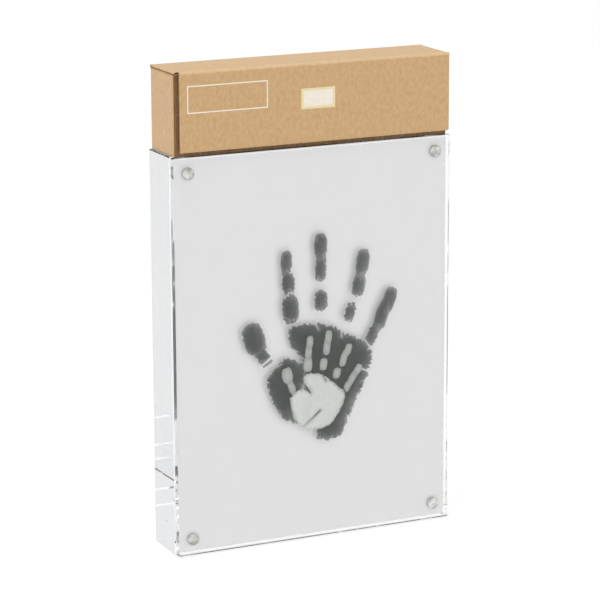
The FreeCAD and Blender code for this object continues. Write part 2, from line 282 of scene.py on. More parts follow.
@dataclass(frozen=True)
class TwoTone(Finish):
    """A dull surface whose two tones are shared out by a noise pattern."""

    base: Colour
    patches: Colour
    per_metre: float
    detail: float
    span: Pair
    roughness: float
    relief: float = 0.0
    stretch: Triple = (1, 1, 1)

    def paint(self, graph: Graph) -> None:
        """Colour the surface, and press the pattern into it where it has relief.

        Args:
            graph: The material's nodes.
        """
        pattern = graph.noise(self.per_metre, self.detail, self.stretch)
        graph.set(Base_Color=graph.mix(graph.ranged(pattern, self.span), self.base, self.patches))
        graph.set(Roughness=self.roughness)
        if self.relief:
            graph.bump(pattern, self.relief)


@dataclass(frozen=True)
class CardStock(TwoTone):
    """Smooth white card."""

    base: Colour = (0.75, 0.75, 0.75)
    patches: Colour = (0.77, 0.77, 0.77)
    per_metre: float = 900
    detail: float = 4
    span: Pair = (0.35, 0.65)
    roughness: float = 0.85
    relief: float = 0.01 * MM


@dataclass(frozen=True)
class RawBoard(TwoTone):
    """The cut edge and the inside of corrugated board."""

    base: Colour = (0.26, 0.15, 0.07)
    patches: Colour = (0.44, 0.28, 0.14)
    per_metre: float = 2600
    detail: float = 4
    span: Pair = (0.3, 0.7)
    roughness: float = 0.95
    relief: float = 0.08 * MM


@dataclass(frozen=True)
class PaleInk(TwoTone):
    """Pale print on kraft paper, which shows a little through it."""

    base: Colour = (0.86, 0.80, 0.70)
    patches: Colour = (0.74, 0.60, 0.42)
    per_metre: float = 2300
    detail: float = 3
    span: Pair = (0.5, 0.75)
    roughness: float = 0.6


@dataclass(frozen=True)
class BeechWood(TwoTone):
    """Sanded beech with its grain along X."""

    base: Colour = (0.62, 0.43, 0.25)
    patches: Colour = (0.45, 0.28, 0.14)
    per_metre: float = 1400
    detail: float = 4
    span: Pair = (0.4, 0.65)
    roughness: float = 0.6
    relief: float = 0.03 * MM
    stretch: Triple = (0.05, 1, 1)


@dataclass(frozen=True)
class NickelPlate(Finish):
    """Nickel plating with cloudy patches and fine scuffs."""

    bright: Colour = (0.74, 0.73, 0.70)
    dull: Colour = (0.36, 0.35, 0.33)
    clouds_per_metre: float = 300
    cloud_span: Pair = (0.36, 0.68)
    scuffs_per_metre: float = 2600
    roughness: Pair = (0.16, 0.34)
    relief: float = 0.006 * MM

    def paint(self, graph: Graph) -> None:
        """Make the metal, duller in its clouds and rougher in its scuffs.

        Args:
            graph: The material's nodes.
        """
        scuffs = graph.noise(self.scuffs_per_metre, detail=3)
        cloud = graph.ranged(graph.noise(self.clouds_per_metre), self.cloud_span)
        graph.set(Base_Color=graph.mix(cloud, self.bright, self.dull), Metallic=1.0)
        graph.set(Roughness=graph.ranged(scuffs, (0.3, 0.7), self.roughness))
        graph.bump(scuffs, self.relief)


@dataclass(frozen=True)
class DriedPaint(Finish):
    """A thin coat of paint, thinner where the mesh's coat attribute falls."""

    full: Colour
    streak: Colour
    cover: Pair
    patchy: float = 0.08
    relief: float = 0.02 * MM
    mottle_per_metre: float = 700
    mottle_stretch: Triple = (1, 1, 0.6)
    grain_per_metre: float = 1900
    roughness: float = 0.55

    def paint(self, graph: Graph) -> None:
        """Colour the coat and let the card show through where it is thin.

        Args:
            graph: The material's nodes.
        """
        mottle = graph.noise(self.mottle_per_metre, 4, self.mottle_stretch)
        graph.set(Base_Color=graph.mix(graph.ranged(mottle, (0.35, 0.7)), self.full, self.streak))
        coat = graph.ranged(graph.attribute("coat"), (0, 1), self.cover)
        patches = graph.ranged(mottle, (0.3, 0.7), (1.0, 1 - self.patchy))
        graph.set(Alpha=graph.math("MULTIPLY", coat, patches), Roughness=self.roughness)
        graph.bump(graph.noise(self.grain_per_metre, detail=3), self.relief)


@dataclass(frozen=True)
class KraftLiner(Finish):
    """Unbleached kraft paper with mottled tone, drawn-out fibres and dark flecks."""

    light: Colour = (0.60, 0.392, 0.193)
    dark: Colour = (0.53, 0.325, 0.142)
    fleck: Colour = (0.36, 0.21, 0.09)
    pale_fibre: Colour = (0.76, 0.54, 0.30)
    mottle_per_metre: float = 560
    fibres_per_metre: float = 2100
    flecks_per_metre: float = 1500
    fibre_share: float = 0.5
    fleck_share: float = 0.6
    relief: float = 0.02 * MM

    def paint(self, graph: Graph) -> None:
        """Lay the mottle, the fibres and the flecks over each other.

        Args:
            graph: The material's nodes.
        """
        mottle = graph.ranged(graph.noise(self.mottle_per_metre, 6, (1, 0.8, 0.7)), (0.32, 0.68))
        tone = graph.mix(mottle, self.light, self.dark)
        fibres = graph.noise(self.fibres_per_metre, 3, (1, 0.3, 0.22))
        shown = graph.ranged(fibres, (0.58, 0.74), (0, self.fibre_share))
        tone = graph.mix(shown, tone, self.pale_fibre)
        flecks = graph.noise(self.flecks_per_metre, 2, (1, 0.8, 0.6))
        shown = graph.ranged(flecks, (0.66, 0.78), (0, self.fleck_share))
        graph.set(Base_Color=graph.mix(shown, tone, self.fleck))
        graph.set(Roughness=0.62, Specular_IOR_Level=0.4, Sheen_Weight=0.12, Sheen_Roughness=0.6)
        graph.bump(fibres, self.relief)


@dataclass(frozen=True)
class MouldedPlastic(Finish):
    """Moulded plastic with a faint grain."""

    colour: Colour
    shade: Colour
    clear: float = 0.0
    grain_per_metre: float = 3000
    roughness: Pair = (0.32, 0.42)
    relief: float = 0.01 * MM

    def paint(self, graph: Graph) -> None:
        """Colour and roughen the surface by its grain.

        Args:
            graph: The material's nodes.
        """
        grain = graph.noise(self.grain_per_metre)
        graph.set(Base_Color=graph.mix(grain, self.colour, self.shade))
        graph.set(Roughness=graph.ranged(grain, (0.3, 0.7), self.roughness))
        graph.set(Transmission_Weight=self.clear, IOR=1.5)
        graph.bump(grain, self.relief)


@dataclass(frozen=True)
class OpenFoam(Finish):
    """Dark open-cell foam."""

    skin: Colour = (0.055, 0.055, 0.06)
    # The pores' darker colour is painted shade inside the open cells
    shaded_pore: Colour = (0.012, 0.012, 0.014)
    pores_per_metre: float = 1500
    relief: float = 0.25 * MM

    def paint(self, graph: Graph) -> None:
        """Darken the pores with painted shade and sink them into the skin.

        Args:
            graph: The material's nodes.
        """
        pores = graph.ranged(graph.cells(self.pores_per_metre), (0.1, 0.6))
        graph.set(Base_Color=graph.mix(pores, self.shaded_pore, self.skin), Roughness=0.95)
        graph.bump(pores, self.relief)


class Finishes:
    """Every finish of the object, made once."""

    def __init__(self) -> None:
        """Make the materials."""
        self.acrylic = ClearAcrylic("clear_acrylic").make()
        self.card = CardStock("white_card").make()
        self.nickel = NickelPlate("nickel_plate").make()
        # A duller copy of the nickel for the magnets' side walls: partly the glue on them, partly
        # painted shade
        glued_and_shaded = NickelPlate("glued_nickel", bright=(0.60, 0.60, 0.59), dull=(0.44, 0.44, 0.43))
        self.glued_shaded_side = glued_and_shaded.make()
        self.kraft = KraftLiner("kraft_liner").make()
        # A paler liner for the creases: the paper is stretched there, and the rest is a painted
        # highlight along the folds
        stretched_and_highlit = KraftLiner(
            "creased_liner",
            light=(0.67, 0.465, 0.255),
            dark=(0.60, 0.40, 0.20),
            fleck=(0.50, 0.32, 0.16),
        )
        self.creased = stretched_and_highlit.make()
        self.raw_board = RawBoard("raw_board").make()
        # A darker copy of the raw edge: painted shade for the cut edges that sit in the slit beside
        # the flap
        shaded_edge = RawBoard("pressed_edge", base=(0.10, 0.048, 0.02), patches=(0.22, 0.11, 0.045))
        self.pressed_edge = shaded_edge.make()
        # A dark copy of the kraft liner: painted shade for the front wall, which shows only in the
        # slit behind the flap
        shaded = KraftLiner("inner_liner", light=(0.27, 0.15, 0.065), dark=(0.21, 0.115, 0.045))
        self.inner_liner = shaded.make()
        self.ink = PaleInk("white_ink").make()
        cream = PaleInk("cream_ink", base=(0.80, 0.69, 0.40), patches=(0.72, 0.58, 0.33))
        self.cream = cream.make()
        self.wood = BeechWood("beech").make()
        self.foam = OpenFoam("open_foam").make()
        grey = DriedPaint(
            "grey_paint", full=(0.050, 0.060, 0.052), streak=(0.064, 0.075, 0.066), cover=(0.20, 0.58)
        )
        self.adult_paint = grey.make()
        pale = DriedPaint(
            "pale_paint",
            full=(0.70, 0.72, 0.69),
            streak=(0.67, 0.69, 0.66),
            cover=(0.28, 0.87),
            patchy=0.03,
            relief=0.008 * MM,
        )
        self.baby_paint = pale.make()
        bottle = MouldedPlastic("bottle_plastic", (0.86, 0.87, 0.87), (0.80, 0.81, 0.81), clear=0.55)
        self.bottle = bottle.make()
        self.cap = MouldedPlastic("cap_plastic", (0.80, 0.80, 0.79), (0.74, 0.74, 0.73)).make()


def dress(node: str, finish: Material) -> None:
    """Give a carried-over CAD node its finish."""
    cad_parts[node].data.materials.clear()
    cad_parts[node].data.materials.append(finish)


def made(name: str, bm: BMesh, finishes: Sequence[Material], smooth_under: float = 0.0) -> Object:
    """Turn a bmesh into an object at the origin, with its faces pointing outwards.

    Args:
        name: The new object's name.
        bm: The shape, which is freed.
        finishes: Its materials, in the order of the faces' material indices.
        smooth_under: Edges that bend by less than this, in degrees, are shaded smooth.

    Returns:
        The new object.
    """
    bmesh.ops.recalc_face_normals(bm, faces=bm.faces)
    data = bpy.data.meshes.new(name)
    bm.to_mesh(data)
    bm.free()
    for finish in finishes:
        data.materials.append(finish)
    if smooth_under:
        data.shade_smooth()
        data.set_sharp_from_angle(angle=math.radians(smooth_under))
    piece = bpy.data.objects.new(name, data)
    bpy.context.scene.collection.objects.link(piece)
    return piece


def standing_for(piece: Object, body: str, slot: str, *nodes: str) -> None:
    """Let a piece ride on a body and take the place of CAD nodes.

    Args:
        piece: The piece.
        body: The body that it rides on.
        slot: Its material slot; not used.
        nodes: The CAD nodes that it stands for, if any.
    """
    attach(piece, body)
    if nodes:
        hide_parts(*nodes)
    log.info("%s: %d faces on %s", piece.name, len(piece.data.polygons), body)


def axes(origin: Vector, across: Vector, along: Vector, outward: Vector) -> Matrix:
    """Give the matrix that puts local X, Y and Z along three directions at an origin."""
    turn = Matrix((across, along, outward)).transposed().to_4x4()
    return Matrix.Translation(origin) @ turn


def extruded(bm: BMesh, faces: Sequence[BMFace]) -> list[BMVert]:
    """Extrude faces without moving them, and give the points of the new ones."""
    grown = bmesh.ops.extrude_face_region(bm, geom=faces)["geom"]
    return [item for item in grown if isinstance(item, BMVert)]


def upright_sheet(middle: Vector, size: Pair, steps: tuple[int, int] = (1, 1)) -> BMesh:
    """Make a flat sheet that faces the front.

    Args:
        middle: The sheet's middle.
        size: Its width and its height.
        steps: How many faces it has across and up.

    Returns:
        The sheet.
    """
    bm = bmesh.new()
    bmesh.ops.create_grid(bm, x_segments=steps[0], y_segments=steps[1], size=0.5)
    place = Matrix.Translation(middle)
    place @= Matrix.Rotation(math.radians(90), 4, "X")
    place @= Matrix.Diagonal((*size, 1, 1))
    bmesh.ops.transform(bm, matrix=place, verts=bm.verts)
    return bm


def lathe(bm: BMesh, profile: Sequence[Pair], steps: int) -> None:
    """Turn a profile about Z.

    Args:
        bm: The bmesh that the shape is added to.
        profile: Radius and height of each point, from one end of the axis to the other.
        steps: How many steps go round.
    """
    points = [bm.verts.new((radius, 0, height)) for radius, height in profile]
    wire = [bm.edges.new(pair) for pair in zip(points, points[1:])]
    bmesh.ops.spin(
        bm,
        geom=points + wire,
        cent=(0, 0, 0),
        axis=(0, 0, 1),
        angle=math.tau,
        steps=steps,
        use_merge=True,
    )
    bmesh.ops.remove_doubles(bm, verts=bm.verts, dist=0.001 * MM)


def round_corner(radius: float, height: float, size: float, start: float) -> list[Pair]:
    """Give the points of a quarter-round in a profile.

    Args:
        radius: Radius of the quarter's centre.
        height: Height of the quarter's centre.
        size: The quarter's own radius.
        start: Angle of its first point in degrees, from outwards, counter-clockwise.

    Returns:
        The points, over 90 degrees counter-clockwise.
    """
    steps = 5
    angles = [math.radians(start + 90 * i / steps) for i in range(steps + 1)]
    return [(radius + size * math.cos(a), height + size * math.sin(a)) for a in angles]


@dataclass
class MagneticFrame:
    """The clear plate and block, their magnets and the card between them."""

    finishes: Finishes
    rim: float = 0.35 * MM
    side_glue: float = 0.07 * MM
    face_glue: float = 0.02 * MM
    dimple: float = 0.06 * MM
    # How far out and how deep the dimple's points are, as shares of its radius and its depth
    dimple_shares: tuple[Pair, ...] = ((0, 1), (0.5, 0.6), (0.85, 0))
    round_steps: int = 48
    smooth_under: float = 40

    def build(self) -> None:
        """Dress the clear pieces and the card, and make the magnets."""
        dress("rear_block", self.finishes.acrylic)
        dress("front_plate", self.finishes.acrylic)
        dress("backing_card", self.finishes.card)
        for body, row in (("plate", "front"), ("block", "rear")):
            for level in ("top", "bottom"):
                for side in Side:
                    self.magnet(f"{row}_magnet_{level}_{side.name.lower()}", body)

    def magnet(self, node: str, body: str) -> None:
        """Make one plated disc in its glue, with rounded rims and shallow dimples.

        Args:
            node: The magnet's CAD node.
            body: The body that it rides on.
        """
        low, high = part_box(node)
        radius = (high.x - low.x) / 2 + self.side_glue
        length = high.y - low.y + 2 * self.face_glue
        inner = radius - self.rim
        dimple = [(inner * out, self.dimple * deep) for out, deep in self.dimple_shares]
        profile = dimple + round_corner(inner, self.rim, self.rim, -90)
        profile += round_corner(inner, length - self.rim, self.rim, 0)
        profile += [(out, length - deep) for out, deep in reversed(dimple)]
        bm = bmesh.new()
        lathe(bm, profile, self.round_steps)
        middle = (low + high) / 2
        origin = Vector((middle.x, low.y - self.face_glue, middle.z))
        bmesh.ops.transform(bm, matrix=axes(origin, ACROSS, -UP, BACKWARD), verts=bm.verts)
        bm.normal_update()
        for face in bm.faces:
            # The side walls take the duller nickel, which is partly painted shade
            face.material_index = int(abs(face.normal.y) < DIAGONAL)
        finishes = [self.finishes.nickel, self.finishes.glued_shaded_side]
        piece = made(node.replace("magnet", "disc"), bm, finishes, self.smooth_under)
        standing_for(piece, body, "magnet_plating", node)


# What a noise cell's number is made of: its place across and up, and the pattern's seed
CELL_KEY = (127.1, 311.7, 74.7)
CELL_SPREAD = 43758.5453


def value_noise(points: np.ndarray, cell: float, seed: int) -> np.ndarray:
    """Give smooth noise on a plane.

    Args:
        points: One row of two coordinates for each point.
        cell: The size of the noise's features.
        seed: A number that picks the pattern.

    Returns:
        A number from 0 to 1 for each point.
    """
    scaled = points / cell
    low = np.floor(scaled)
    part = scaled - low
    part = part * part * (3 - 2 * part)
    by_across, by_up, by_seed = CELL_KEY

    def corner(step_across: int, step_up: int) -> np.ndarray:
        """Give the number of one corner of each point's cell."""
        key = (low[:, 0] + step_across) * by_across + (low[:, 1] + step_up) * by_up + seed * by_seed
        return np.mod(np.sin(key) * CELL_SPREAD, 1.0)

    near = corner(0, 0) * (1 - part[:, 0]) + corner(1, 0) * part[:, 0]
    far = corner(0, 1) * (1 - part[:, 0]) + corner(1, 1) * part[:, 0]
    return near * (1 - part[:, 1]) + far * part[:, 1]


def distance_to_line(points: np.ndarray, start: np.ndarray, end: np.ndarray) -> np.ndarray:
    """Give each point's distance to a straight line between two points.

    Args:
        points: One row of two coordinates for each point.
        start: Where the line starts.
        end: Where it ends.

    Returns:
        The distances.
    """
    line = end - start
    share = np.clip((points - start) @ line / (line @ line), 0, 1)
    return np.linalg.norm(points - start - share[:, None] * line, axis=1)


@dataclass(frozen=True)
class Pad:
    """A rounded pad that the skin prints, in shares of the print's height."""

    across: float
    up: float
    half_width: float
    half_length: float
    lean: float
    ragged: float
    squareness: float = 2.8

    def grain(self, points: np.ndarray) -> np.ndarray:
        """Give the places that the teeth in the pad's edge follow, the same as the points."""
        return points

    def depth(self, points: np.ndarray) -> np.ndarray:
        """Give how far inside the pad each point lies, in shares, negative outside it.

        Args:
            points: One row of two shares for each point.

        Returns:
            The depths.
        """
        angle = math.radians(self.lean)
        moved = points - np.array((self.across, self.up))
        side = moved[:, 0] * math.cos(angle) - moved[:, 1] * math.sin(angle)
        length = moved[:, 0] * math.sin(angle) + moved[:, 1] * math.cos(angle)
        reach = np.abs(side / self.half_width) ** self.squareness
        reach += np.abs(length / self.half_length) ** self.squareness
        reach = reach ** (1 / self.squareness)
        return (1 - reach) * min(self.half_width, self.half_length)


@dataclass(frozen=True)
class Lobe:
    """A lobe of the palm, as corner shares of the print's height that are then rounded."""

    corner_shares: tuple[Pair, ...]
    ragged: float
    # How much of each side is cut off at both of its ends to round the corners
    cut_share: float = 0.25
    # How many times longer the teeth are than they are wide
    tooth_stretch: float = 3

    def grain(self, points: np.ndarray) -> np.ndarray:
        """Give the places that the teeth in the lobe's edge follow, which run outwards.

        Args:
            points: One row of two shares for each point.

        Returns:
            How far round the lobe's middle and how far out from it each point lies, in shares.
        """
        middle = np.mean(self.corner_shares, axis=0)
        reach = float(np.linalg.norm(self.corner_shares - middle, axis=1).mean())
        moved = points - middle
        round_it = np.arctan2(moved[:, 1], moved[:, 0]) * reach
        outward = np.linalg.norm(moved, axis=1) / self.tooth_stretch
        return np.stack([round_it, outward], axis=1)

    def outline(self) -> np.ndarray:
        """Round the corners by cutting them off.

        Returns:
            The outline's points, two shares in each row.
        """
        line = np.array(self.corner_shares)
        after = np.roll(line, -1, axis=0)
        kept = 1 - self.cut_share
        first = line * kept + after * self.cut_share
        last = line * self.cut_share + after * kept
        return np.stack([first, last], axis=1).reshape(-1, 2)

    def depth(self, points: np.ndarray) -> np.ndarray:
        """Give how far inside the outline each point lies, in shares, negative outside it.

        Args:
            points: One row of two shares for each point.

        Returns:
            The depths.
        """
        line = self.outline()
        nearest = np.full(len(points), np.inf)
        inside = np.zeros(len(points), bool)
        for start, end in zip(line, np.roll(line, -1, axis=0)):
            nearest = np.minimum(nearest, distance_to_line(points, start, end))
            crosses = (start[1] > points[:, 1]) != (end[1] > points[:, 1])
            rise = end[1] - start[1]
            if rise:
                at = start[0] + (points[:, 1] - start[1]) * (end[0] - start[0]) / rise
                inside ^= crosses & (points[:, 0] < at)
        return np.where(inside, nearest, -nearest)


@dataclass(frozen=True)
class Crease:
    """A line of skin that takes no paint, as shares of the print's height."""

    start: Pair
    end: Pair
    half_width: float


class Pattern(Enum):
    """The noise patterns of a print, as what each adds to the print's seed."""

    TEETH = 0
    FRAY = 3
    WANDER = 5
    RIDGES = 7
    WEAR = 9
    PITS = 13
    STREAKS = 15


@dataclass
class Handprint:
    """One print, as a thin film of paint on the front plate."""

    name: str
    node: str
    slot: str
    finish: Material
    shapes: Sequence[Pad | Lobe]
    creases: Sequence[Crease]
    grid: float
    under: float
    seed: int
    ridge: float = 0.9 * MM
    tooth: float = 0.9 * MM
    tooth_depth: float = 1.7 * MM
    edge_coat: float = 1.4 * MM
    merge: float = 1.6 * MM
    streak: float = 5.0 * MM
    streaky: float = 0.45
    finger_coat: float = 1.0
    # How teeth and fray cut into an edge, and how far it is let out to make up for them
    tooth_sharpness: float = 1.5
    cut_shares: tuple[float, float, float] = (1.2, 0.5, 0.32)
    # Where the noise leaves a pit, how steep its sides are, and how much full paint fills it
    pit_start: float = 0.86
    pit_slope: float = 3
    pit_fill: float = 0.5
    pit_share: float = 0.7
    crease_wander_share: float = 0.3
    # How thick the film and how full the coat are at the rim, what the middle adds, and what
    # the ridges add to the film and wear takes from the coat
    film_shares: tuple[float, float, float] = (0.45, 0.4, 0.15)
    coat_shares: tuple[float, float, float] = (0.45, 0.55, 0.2)
    # How the patterns are scaled across and up; under 1 draws their features out
    ridge_stretch: Pair = (1, 2.2)
    wear_stretch: Pair = (1, 1.6)
    streak_stretch: Pair = (1, 0.3)
    smooth_under: float = 60

    def __post_init__(self) -> None:
        """Take the print's height and place from its CAD node."""
        self.low, self.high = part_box(self.node)
        self.tall = self.high.z - self.low.z
        self.front = self.low.y
        self.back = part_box("front_plate")[0].y + self.under

    def build(self) -> None:
        """Make the film and put it on the plate."""
        bm = self.cut_sheet()
        self.follow_edge(bm)
        self.thicken(bm)
        piece = made(self.name, bm, [self.finish], self.smooth_under)
        self.write_coat(piece.data)
        standing_for(piece, "plate", self.slot, self.node)

    def shares(self, points: np.ndarray) -> np.ndarray:
        """Turn places on the plate, across and up in metres, into shares of the height."""
        return (points - (0, self.low.z)) / self.tall

    def pattern(self, kind: Pattern, points: np.ndarray, cell: float) -> np.ndarray:
        """Give one of the print's own noise patterns, with features of a given size."""
        return value_noise(points, cell, self.seed + kind.value)

    def frayed(self, shape: Pad | Lobe, at: np.ndarray) -> np.ndarray:
        """Give a shape's depth with teeth cut into its edge by the skin's ridges.

        Args:
            shape: The shape.
            at: One row of two shares for each point.

        Returns:
            The depths, in metres.
        """
        teeth = self.pattern(Pattern.TEETH, shape.grain(at) * self.tall, self.tooth)
        fray = self.pattern(Pattern.FRAY, at * self.tall, self.ridge / 2)
        by_teeth, by_fray, let_out = self.cut_shares
        cut = by_teeth * teeth**self.tooth_sharpness + by_fray * fray - let_out
        return shape.depth(at) * self.tall - shape.ragged * self.tooth_depth * cut

    def depth(self, points: np.ndarray) -> np.ndarray:
        """Give how far inside the painted area each point lies, in metres.

        Args:
            points: One row for each point, across and up in metres.

        Returns:
            The depths.
        """
        at = self.shares(points)
        deepest = np.full(len(at), -self.tall)
        for shape in self.shapes:
            own = self.frayed(shape, at)
            near = np.maximum(self.merge - np.abs(own - deepest), 0)
            deepest = np.maximum(deepest, own) + near**2 / (4 * self.merge)
        pits = self.pattern(Pattern.PITS, points, self.pit_share * self.ridge)
        skipped = (self.pit_start - pits) * self.pit_slope * self.ridge
        skipped += self.pit_fill * np.maximum(deepest, 0)
        deepest = np.minimum(deepest, skipped)
        wander = self.pattern(Pattern.WANDER, points, 2 * self.ridge) - 0.5
        wander *= self.crease_wander_share * self.ridge
        for crease in self.creases:
            away = distance_to_line(at, np.array(crease.start), np.array(crease.end))
            deepest = np.minimum(deepest, (away - crease.half_width) * self.tall + wander)
        return deepest

    def cut_sheet(self) -> BMesh:
        """Make a fine flat sheet and keep its faces inside the painted area.

        Returns:
            The sheet.
        """
        margin = 2 * self.grid
        size = (self.high.x - self.low.x + 2 * margin, self.tall + 2 * margin)
        middle = (self.low + self.high) / 2
        middle.y = self.front
        steps = (round(size[0] / self.grid), round(size[1] / self.grid))
        bm = upright_sheet(middle, size, steps)
        centres = np.array([(c.x, c.z) for c in (f.calc_center_median() for f in bm.faces)])
        keep = self.depth(centres) > 0
        outside = [face for face, inside in zip(bm.faces, keep) if not inside]
        bmesh.ops.delete(bm, geom=outside, context="FACES")
        return bm

    def follow_edge(self, bm: BMesh) -> None:
        """Slide the sheet's rim onto the painted area's edge, in a few short moves.

        Args:
            bm: The sheet.
        """
        moves = 3
        least_slope = 0.3
        least_reach = 1e-9
        longest = 0.4 * self.grid
        step = self.grid / 3
        rim = [vert for vert in bm.verts if vert.is_boundary]
        places = np.array([(vert.co.x, vert.co.z) for vert in rim])
        for _ in range(moves):
            here = self.depth(places)
            right = self.depth(places + (step, 0)) - here
            upper = self.depth(places + (0, step)) - here
            slope = np.stack([right, upper], axis=1) / step
            steep = np.maximum((slope**2).sum(axis=1), least_slope)
            move = -here[:, None] * slope / steep[:, None]
            reach = np.maximum(np.linalg.norm(move, axis=1, keepdims=True), least_reach)
            places += move * np.minimum(1, longest / reach)
        for vert, (across, up) in zip(rim, places):
            vert.co.x = across
            vert.co.z = up

    def thicken(self, bm: BMesh) -> None:
        """Give the sheet its thickness, thinner towards the edge and along the ridges.

        Args:
            bm: The sheet.
        """
        places = np.array([(vert.co.x, vert.co.z) for vert in bm.verts])
        inner = np.clip(self.depth(places) / self.edge_coat, 0, 1)
        ridges = self.pattern(Pattern.RIDGES, places * self.ridge_stretch, self.ridge)
        at_rim, by_depth, by_ridges = self.film_shares
        thickness = self.back - self.front
        thickness = thickness * (at_rim + by_depth * np.sqrt(inner) + by_ridges * ridges * inner)
        behind = extruded(bm, list(bm.faces))
        skin = set(behind)
        face = [vert for vert in bm.verts if vert not in skin]
        for vert in behind:
            vert.co.y = self.back
        for vert, deep in zip(face, thickness):
            vert.co.y = self.back - deep

    def fullness(self, points: np.ndarray) -> np.ndarray:
        """Give how much of the palm's coat each point gets, which is another in the fingers.

        Args:
            points: One row for each point, across and up in metres.

        Returns:
            The shares of the coat.
        """
        at = self.shares(points)
        depths = np.stack([shape.depth(at) for shape in self.shapes])
        fingers = np.array([isinstance(shape, Pad) for shape in self.shapes])
        return np.where(fingers[depths.argmax(axis=0)], self.finger_coat, 1.0)

    def write_coat(self, data: Mesh) -> None:
        """Store how full the coat is at each point, for the finish.

        Args:
            data: The film's mesh.
        """
        flat = np.zeros(len(data.vertices) * 3, np.float32)
        data.vertices.foreach_get("co", flat)
        places = flat.reshape(-1, 3)[:, (0, 2)].astype(float)
        inner = np.clip(self.depth(places) / self.edge_coat, 0, 1)
        wear = self.pattern(Pattern.WEAR, places * self.wear_stretch, 2 * self.ridge)
        streaks = self.pattern(Pattern.STREAKS, places * self.streak_stretch, self.streak)
        at_rim, by_depth, by_wear = self.coat_shares
        coat = at_rim + by_depth * inner - by_wear * wear * (1 - inner)
        coat = (coat - self.streaky * np.clip(streaks - 0.5, 0, 1)) * self.fullness(places)
        coat = np.clip(coat, 0, 1)
        layer = data.attributes.new("coat", "FLOAT", "POINT")
        layer.data.foreach_set("value", coat.astype(np.float32))


# Each print from the index finger's tip to the thumb's foot, then the palm and its creases
ADULT_SHAPE_SHARES = (
    Pad(-0.150, 0.880, 0.030, 0.055, 0, 0.20),
    Pad(-0.140, 0.780, 0.035, 0.055, -3, 0.50),
    Pad(-0.130, 0.655, 0.045, 0.070, -4, 0.60),
    Pad(0.025, 0.940, 0.035, 0.060, 0, 0.20),
    Pad(0.025, 0.830, 0.030, 0.065, 3, 0.30),
    Pad(0.025, 0.680, 0.035, 0.055, 2, 0.50),
    Pad(0.240, 0.840, 0.035, 0.065, 9, 0.20),
    Pad(0.220, 0.730, 0.035, 0.055, 11, 0.35),
    Pad(0.175, 0.610, 0.030, 0.050, 14, 0.60),
    Pad(0.380, 0.650, 0.035, 0.060, 17, 0.30),
    Pad(0.340, 0.575, 0.035, 0.070, 19, 0.30),
    Pad(0.290, 0.485, 0.030, 0.055, 22, 0.45),
    Pad(-0.315, 0.535, 0.055, 0.080, -16, 0.30),
    Pad(-0.270, 0.445, 0.035, 0.045, -32, 0.60),
    Pad(-0.250, 0.410, 0.008, 0.030, 58, 0.20),
    Lobe(
        (
            *((-0.145, 0.570), (-0.105, 0.585), (0.035, 0.580), (0.060, 0.560), (0.100, 0.550)),
            *((0.180, 0.500), (0.220, 0.490), (0.270, 0.445), (0.295, 0.405), (0.290, 0.360)),
            *((0.270, 0.295), (0.230, 0.215), (0.205, 0.175), (0.185, 0.125), (0.150, 0.045)),
            *((0.130, 0.010), (0.035, 0.000), (-0.020, 0.020), (0.005, 0.060), (-0.020, 0.160)),
            *((-0.065, 0.310), (-0.065, 0.395), (-0.145, 0.485)),
        ),
        ragged=1.0,
    ),
    Lobe(
        (
            *((-0.180, 0.420), (-0.150, 0.435), (-0.090, 0.405), (-0.060, 0.370), (-0.050, 0.320)),
            *((-0.095, 0.240), (-0.120, 0.170), (-0.080, 0.085), (-0.165, 0.125), (-0.220, 0.195)),
            *((-0.250, 0.285), (-0.255, 0.345), (-0.205, 0.385)),
        ),
        ragged=0.9,
    ),
)
ADULT_CREASE_SHARES = (
    Crease((-0.125, 0.440), (-0.070, 0.395), 0.0050),
    Crease((-0.100, 0.435), (-0.055, 0.405), 0.0030),
    Crease((0.235, 0.330), (0.290, 0.305), 0.0045),
    Crease((0.245, 0.475), (0.295, 0.410), 0.0045),
    Crease((-0.015, 0.590), (0.015, 0.540), 0.0030),
    Crease((0.130, 0.540), (0.130, 0.495), 0.0030),
    Crease((-0.290, 0.395), (-0.230, 0.435), 0.0050),
    Crease((-0.240, 0.370), (-0.175, 0.400), 0.0040),
)
BABY_SHAPE_SHARES = (
    Pad(-0.070, 0.900, 0.040, 0.065, 3, 0.30),
    Pad(-0.085, 0.795, 0.040, 0.070, 3, 0.30),
    Pad(-0.090, 0.670, 0.050, 0.080, 0, 0.30),
    Pad(0.135, 0.925, 0.040, 0.075, 6, 0.20),
    Pad(0.115, 0.820, 0.040, 0.080, 6, 0.30),
    Pad(0.080, 0.655, 0.045, 0.065, 4, 0.40),
    Pad(0.350, 0.775, 0.040, 0.065, 18, 0.20),
    Pad(0.300, 0.685, 0.040, 0.085, 16, 0.30),
    Pad(0.225, 0.545, 0.045, 0.060, 14, 0.40),
    Pad(0.460, 0.560, 0.040, 0.060, 30, 0.20),
    Pad(0.395, 0.475, 0.040, 0.080, 32, 0.30),
    Pad(0.335, 0.390, 0.040, 0.065, 32, 0.40),
    Pad(-0.315, 0.585, 0.060, 0.085, -12, 0.30),
    Pad(-0.270, 0.460, 0.040, 0.075, -20, 0.50),
    Lobe(
        (
            *((-0.140, 0.575), (-0.055, 0.590), (0.025, 0.575), (0.105, 0.535), (0.265, 0.400)),
            *((0.325, 0.315), (0.315, 0.245), (0.225, 0.090), (0.165, 0.025), (0.070, -0.010)),
            *((-0.040, -0.015), (-0.130, 0.000), (-0.225, 0.100), (-0.265, 0.180), (-0.290, 0.285)),
            *((-0.295, 0.380), (-0.160, 0.440), (-0.100, 0.410), (-0.055, 0.370), (-0.140, 0.485)),
        ),
        ragged=0.8,
    ),
)
